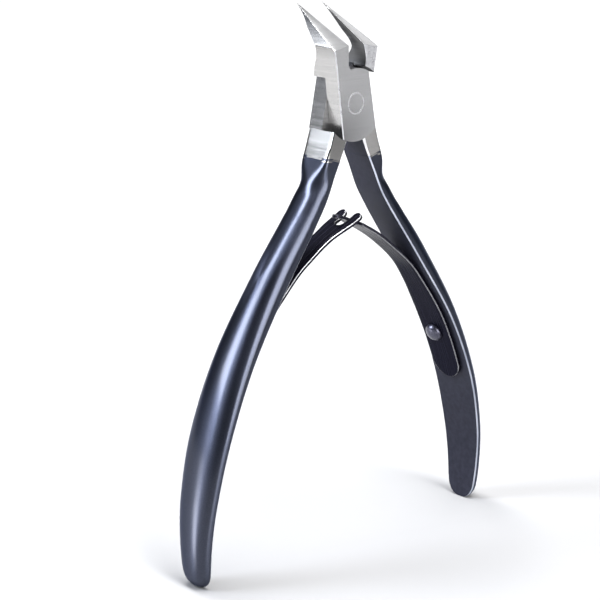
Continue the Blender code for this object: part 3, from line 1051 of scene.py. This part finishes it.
def strip_band(side, here, normal, spans, work):
    """The points across a strip at one place: for each span its upper and lower row.

    A row lists its points as pairs of a vert and its place across the strip.
    """
    turns = [math.pi / 2.0 * k / ROUND_STEPS for k in range(ROUND_STEPS + 1)]
    band = []
    for low, high in spans:
        rim = min(SPRING_ROUND_OVER, (high - low) * ROUND_SHARE)
        edge = [
            (rim * (1.0 - math.cos(turn)), SPRING_ROUND_OVER * (1.0 - math.sin(turn)))
            for turn in turns
        ]
        flat = (high - low - 2.0 * rim) / STRIP_COLUMNS
        across = [(low + shift, inset) for shift, inset in edge]
        across += [(low + rim + flat * k, 0.0) for k in range(1, STRIP_COLUMNS)]
        across += [(high - shift, inset) for shift, inset in reversed(edge)]
        upper, lower = [], []
        for y, inset in across:
            for face, row in ((1.0, upper), (-1.0, lower)):
                point = here + normal * (face * (SPRING_THICKNESS / 2.0 - inset))
                row.append((work.verts.new((side * point.x, point.y + y, point.z)), y))
        band.append((upper, lower))
    return band


def on_strip(row, along, *indices):
    """Some points of a row, as a vert with its place along and across the strip."""
    return [(row[index][0], along, row[index][1]) for index in indices]


def make_spring(side, name, tip, material, edge_material):
    """One leaf spring as a single strip with softly rounded edges."""
    table = spring_table(side)
    work = bmesh.new()
    along_layer = work.loops.layers.uv.new("strip")
    # The rounded corners on one face of the strip get a painted highlight.
    bright_row = 1 if side == RIGHT else 0
    bands = []
    for along in strip_stations(table, tip):
        here, normal = spring_frame(table, along)
        spans = strip_spans(side, table, along, tip)
        bands.append((along, strip_band(side, here, normal, spans, work)))

    def quad(corners, bright=False):
        face = work.faces.new([vert for vert, _, _ in corners])
        for loop, (_, along, y) in zip(face.loops, corners):
            loop[along_layer].uv = (along * MM, y * MM)
        face.material_index = 1 if bright else 0

    def join(a, rows_a, b, rows_b):
        """Skin one span of a band to one span of the next."""
        count = len(rows_a[0])
        for i in range(count - 1):
            rounded = i < ROUND_STEPS or i >= count - 1 - ROUND_STEPS
            for row, (row_a, row_b) in enumerate(zip(rows_a, rows_b)):
                corners = on_strip(row_a, a, i, i + 1) + on_strip(row_b, b, i + 1, i)
                quad(corners, bright=rounded and row == bright_row)
        (upper_a, lower_a), (upper_b, lower_b) = rows_a, rows_b
        for i in (0, count - 1):
            side_a = on_strip(upper_a, a, i) + on_strip(lower_a, a, i)
            quad(side_a + on_strip(lower_b, b, i) + on_strip(upper_b, b, i))

    def cap(along, rows):
        upper, lower = rows
        for i in range(len(upper) - 1):
            quad(on_strip(upper, along, i, i + 1) + on_strip(lower, along, i + 1, i))

    for (a, band_a), (b, band_b) in zip(bands, bands[1:]):
        if len(band_a) == len(band_b):
            for rows_a, rows_b in zip(band_a, band_b):
                join(a, rows_a, b, rows_b)
        else:
            split_band(quad, a, band_a[0], b, band_b)
    for along, band in (bands[0], bands[-1]):
        for rows in band:
            cap(along, rows)
    return sharpen(new_piece(name, work, material, edge_material), SPRING_SHARP_ANGLE)


def split_band(quad, a, whole, b, prongs):
    """Skin a whole band to the two prongs that start after it."""
    upper_w, lower_w = whole
    (upper_l, lower_l), (upper_r, lower_r) = prongs
    middle = len(upper_w) // 2
    for row_w, row_l, row_r in ((upper_w, upper_l, upper_r), (lower_w, lower_l, lower_r)):
        low = row_w[: middle + 1]
        high = row_w[middle:]
        for part, row, first in ((low, row_l, True), (high, row_r, False)):
            extra = len(row) - len(part)
            ends = [part[0]] * extra + part if first else part + [part[-1]] * extra
            for i in range(len(row) - 1):
                corners = on_strip(ends, a, i, i + 1) + on_strip(row, b, i + 1, i)
                if ends[i][0] == ends[i + 1][0]:
                    corners.pop(0)
                quad(corners)
    for upper, lower, at_a, at_b in (
        (upper_l, lower_l, 0, 0),
        (upper_r, lower_r, -1, -1),
        (upper_l, lower_l, middle, -1),
        (upper_r, lower_r, middle, 0),
    ):
        side_a = on_strip(upper_w, a, at_a) + on_strip(lower_w, a, at_a)
        quad(side_a + on_strip(lower, b, at_b) + on_strip(upper, b, at_b))


def make_rivet(side, name, material):
    """The rivet's domed head, on the face of its spring."""
    seat, normal = flat_point(RIVET_HEIGHT, side)
    seat.y += RIVET_SETBACK
    top = SPRING_GAP + SPRING_THICKNESS
    profile = [
        (RIVET_HEAD_RADIUS * RIVET_FOOT_SHARE, top - RIVET_SUNK),
        (RIVET_HEAD_RADIUS, top),
        (RIVET_HEAD_RADIUS, top + RIVET_RIM),
    ]
    steps = 14
    for step in range(1, steps):
        angle = math.pi / 2.0 * step / steps
        height = top + RIVET_RIM + (RIVET_HEAD_HEIGHT - RIVET_RIM) * math.sin(angle)
        profile.append((RIVET_HEAD_RADIUS * math.cos(angle), height))
    return new_piece(name, turned(profile, seat, -normal), material)


# ---- assembly ----


def half_materials(side, word):
    """A half's ground steel, and darker copies of it as painted shade for its jaw's hollow and
    its sides.
    """
    kinds = {"steel": GROUND_STEEL, "hollow": HOLLOW_SHADE_STEEL, "shaded_flank": FLANK_SHADE_STEEL[side]}
    return [brushed_steel(f"{word}_half_{kind}", side, *kinds[kind]) for kind in kinds]


def dress():
    """Make every piece, put it on its body and let it stand for its CAD nodes."""
    coat = blue_coat()
    satin = satin_coat()
    strip = {
        RIGHT: spring_steel("right_spring_steel", paleness=0.5, sheen=0.5),
        LEFT: spring_steel("left_spring_steel", paleness=0.0, sheen=1.0),
    }
    # Painted highlights: brighter metal on the halves' chamfers and edges, and the ring.
    edge = edge_highlight("bright_edge_visual", dark=(0.6, 0.6, 0.62), light=(0.75, 0.75, 0.77))
    # Painted highlights on the springs' rounded edges.
    spring_highlight = edge_highlight("spring_highlight_visual", dark=(0.2, 0.2, 0.21), light=(0.3, 0.3, 0.31))
    rim = rim_shade()
    handle_highlight = coat_edge_highlight()
    rivets = rivet_steel()
    forged = {RIGHT: half_materials(RIGHT, "front"), LEFT: half_materials(LEFT, "back")}
    for side, word, body in ((RIGHT, "front", "front_half"), (LEFT, "back", "back_half")):
        steel, hollow, shaded_flank = forged[side]
        half = make_half(side, word + "_half_visual", steel, hollow, satin, edge, rim, shaded_flank)
        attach(half, body)
        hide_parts(word + "_half")
    for side, word, body, tip in (
        (RIGHT, "right", "front_half", "tongue"),
        (LEFT, "left", "back_half", "fork"),
    ):
        handle = make_handle(side, word + "_handle_visual", coat, satin, handle_highlight)
        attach(handle, body)
        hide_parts(word + "_handle")
        spring = make_spring(side, word + "_spring_visual", tip, strip[side], spring_highlight)
        table = spring_table(side)
        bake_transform(spring)
        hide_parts(word + "_spring_foot")
        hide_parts(word + "_spring_blade")
        rivet = make_rivet(side, word + "_spring_rivet_visual", rivets)
        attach(rivet, body)
        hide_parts(word + "_spring_rivet")
    ring = make_ring(edge)
    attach(ring, "front_half")
    pin = make_pin(forged[LEFT][0])
    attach(pin, "back_half")
    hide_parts("pivot_pin")


# ---- stage ----

CAMERA_YAW = 41.8
CAMERA_PITCH = 15.15
CAMERA_ROLL = 0.33
CAMERA_DISTANCE = 0.4095
CAMERA_AIM = Vector((-0.01243, 0.0042, -0.04347))
CAMERA_LENS = 110.0
CAMERA_SENSOR = 36.0
CAMERA_NEAR = 0.01


def add_camera():
    """The camera, turned by its yaw, pitch and roll about the point it aims at."""
    yaw, pitch, roll = (math.radians(v) for v in (CAMERA_YAW, CAMERA_PITCH, CAMERA_ROLL))
    level = math.cos(pitch)
    back = Vector((-math.sin(yaw) * level, -math.cos(yaw) * level, math.sin(pitch)))
    right = Vector((math.cos(yaw), -math.sin(yaw), 0.0))
    up = back.cross(right)
    turned_right = right * math.cos(roll) + up * math.sin(roll)
    turned_up = up * math.cos(roll) - right * math.sin(roll)
    data = bpy.data.cameras.new("camera")
    data.lens = CAMERA_LENS
    data.sensor_width = CAMERA_SENSOR
    data.clip_start = CAMERA_NEAR
    camera = bpy.data.objects.new("camera", data)
    axes = Matrix((turned_right, turned_up, back)).transposed().to_4x4()
    camera.matrix_world = Matrix.Translation(CAMERA_AIM + back * CAMERA_DISTANCE) @ axes
    bpy.context.scene.collection.objects.link(camera)
    bpy.context.scene.camera = camera


FLOOR_REACH = 6000.0
FLOOR_GAP = 0.05
# The floor glows more the farther it goes this way, up to a distance in metres.
GLOW_WAY = (0.25, 0.97, 0.0)
GLOW_STRENGTH = 0.9
GLOW_DISTANCE = 0.5
# Wedges of brighter floor running out from the left tip: azimuth, strength and the
# slopes off their middle lines where they start to fade and end.
WEDGE_START = (-0.046, 0.0, 0.0)
WEDGES = ((143.0, 10.0, 0.07, 0.15), (-108.0, 1.5, 0.12, 0.3))
# The distances over which a wedge fades in, and those over which it falls to a share.
WEDGE_NEAR = (0.008, 0.03)
WEDGE_FAR = (0.13, 0.22)
WEDGE_FAR_SHARE = 0.35


def floor_wedge(nodes, from_tip, azimuth, strength, inner, outer):
    """A wedge of brighter floor, fading in at the tip and weaker far from it."""
    turn = math.radians(azimuth)
    ahead = nodes.dot(from_tip, (math.cos(turn), math.sin(turn), 0.0))
    aside = nodes.dot(from_tip, (-math.sin(turn), math.cos(turn), 0.0))
    spread = nodes.maths("ABSOLUTE", nodes.maths("DIVIDE", aside, ahead))
    across = nodes.span(spread, strength, 0.0, inner, outer)
    wedge = nodes.maths("MULTIPLY", across, nodes.span(ahead, 0.0, 1.0, *WEDGE_NEAR))
    return nodes.maths("MULTIPLY", wedge, nodes.span(ahead, 1.0, WEDGE_FAR_SHARE, *WEDGE_FAR))


def add_floor():
    """A pale floor under the tool that brightens towards the far side."""
    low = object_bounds()[0][2]
    work = bmesh.new()
    reach = FLOOR_REACH
    corners = ((-reach, -reach), (reach, -reach), (reach, reach), (-reach, reach))
    work.faces.new([work.verts.new((x, y, low / MM - FLOOR_GAP)) for x, y in corners])
    nodes = Nodes("floor")
    nodes.set(Roughness=0.6, Specular_IOR_Level=0.1)
    nodes.set(Base_Color=(0.29, 0.29, 0.295, 1.0), Emission_Color=(1.0, 1.0, 1.0, 1.0))
    place = nodes.add("ShaderNodeTexCoord").outputs["Object"]
    glow = nodes.span(nodes.dot(place, GLOW_WAY), 0.0, GLOW_STRENGTH, 0.0, GLOW_DISTANCE)
    tip = nodes.add("ShaderNodeVectorMath", operation="SUBTRACT")
    nodes.link(place, tip.inputs[0])
    tip.inputs[1].default_value = WEDGE_START
    for wedge in WEDGES:
        glow = nodes.maths("ADD", glow, floor_wedge(nodes, tip.outputs["Vector"], *wedge))
    nodes.link(glow, nodes.shader.inputs["Emission Strength"])
    floor = new_piece("floor", work, nodes.material)


def add_light(name, place, size, power, colour=(1.0, 1.0, 1.0)):
    """A rectangular light that shines straight down."""
    data = bpy.data.lights.new(name, "AREA")
    data.shape = "RECTANGLE"
    data.size, data.size_y = size
    data.energy = power
    data.color = colour
    light = bpy.data.objects.new(name, data)
    light.location = place
    bpy.context.scene.collection.objects.link(light)
    return light


WORLD_COLOUR = (0.9, 0.93, 1.0, 1.0)
WORLD_STRENGTH = 0.12
# Name, azimuth, distance, height, width and height of the card, power, colour and lean.
# The left strip leans, so its highlight follows the bow of the handle.
STANDING_LIGHTS = (
    ("left_strip", 149.0, 0.6, 0.38, (0.22, 0.58), 8.5, (0.86, 0.91, 1.0), -8.0),
    ("front_band", -98.0, 0.75, 0.27, (0.45, 0.74), 8.1, (1.0, 1.0, 1.0), 0.0),
    ("right_card", -52.0, 0.9, 0.1, (0.5, 0.42), 0.45, (1.0, 1.0, 1.0), 0.0),
    ("back_card", 21.0, 0.69, 0.41, (0.5, 0.5), 0.8, (1.0, 1.0, 1.0), 0.0),
)
# Name, place, width and depth, and power.
OVERHEAD_LIGHTS = (
    ("top_soft", (0.35, 0.2, 0.8), (0.7, 0.7), 1.0),
    ("top_strip", (-0.05, -0.15, 0.8), (0.2, 1.3), 28.0),
)


def add_lights():
    """A dim world, lights that stand round the tool and two lights overhead."""
    world = bpy.data.worlds.new("studio")
    bpy.context.scene.world = world
    world.use_nodes = True
    background = world.node_tree.nodes["Background"]
    background.inputs["Color"].default_value = WORLD_COLOUR
    background.inputs["Strength"].default_value = WORLD_STRENGTH
    for name, azimuth, distance, height, size, power, colour, lean in STANDING_LIGHTS:
        turn = math.radians(azimuth)
        place = (distance * math.cos(turn), distance * math.sin(turn), height)
        light = add_light(name, place, size, power, colour)
        inward = Vector((0.0, 0.0, height)) - Vector(place)
        light.rotation_euler = inward.to_track_quat("-Z", "Y").to_euler()
        if lean:
            light.rotation_euler.rotate_axis("Z", math.radians(lean))
    for name, place, size, power in OVERHEAD_LIGHTS:
        add_light(name, place, size, power)


dress()
add_camera()
add_floor()
add_lights()
bpy.context.scene.view_settings.view_transform = "Standard"
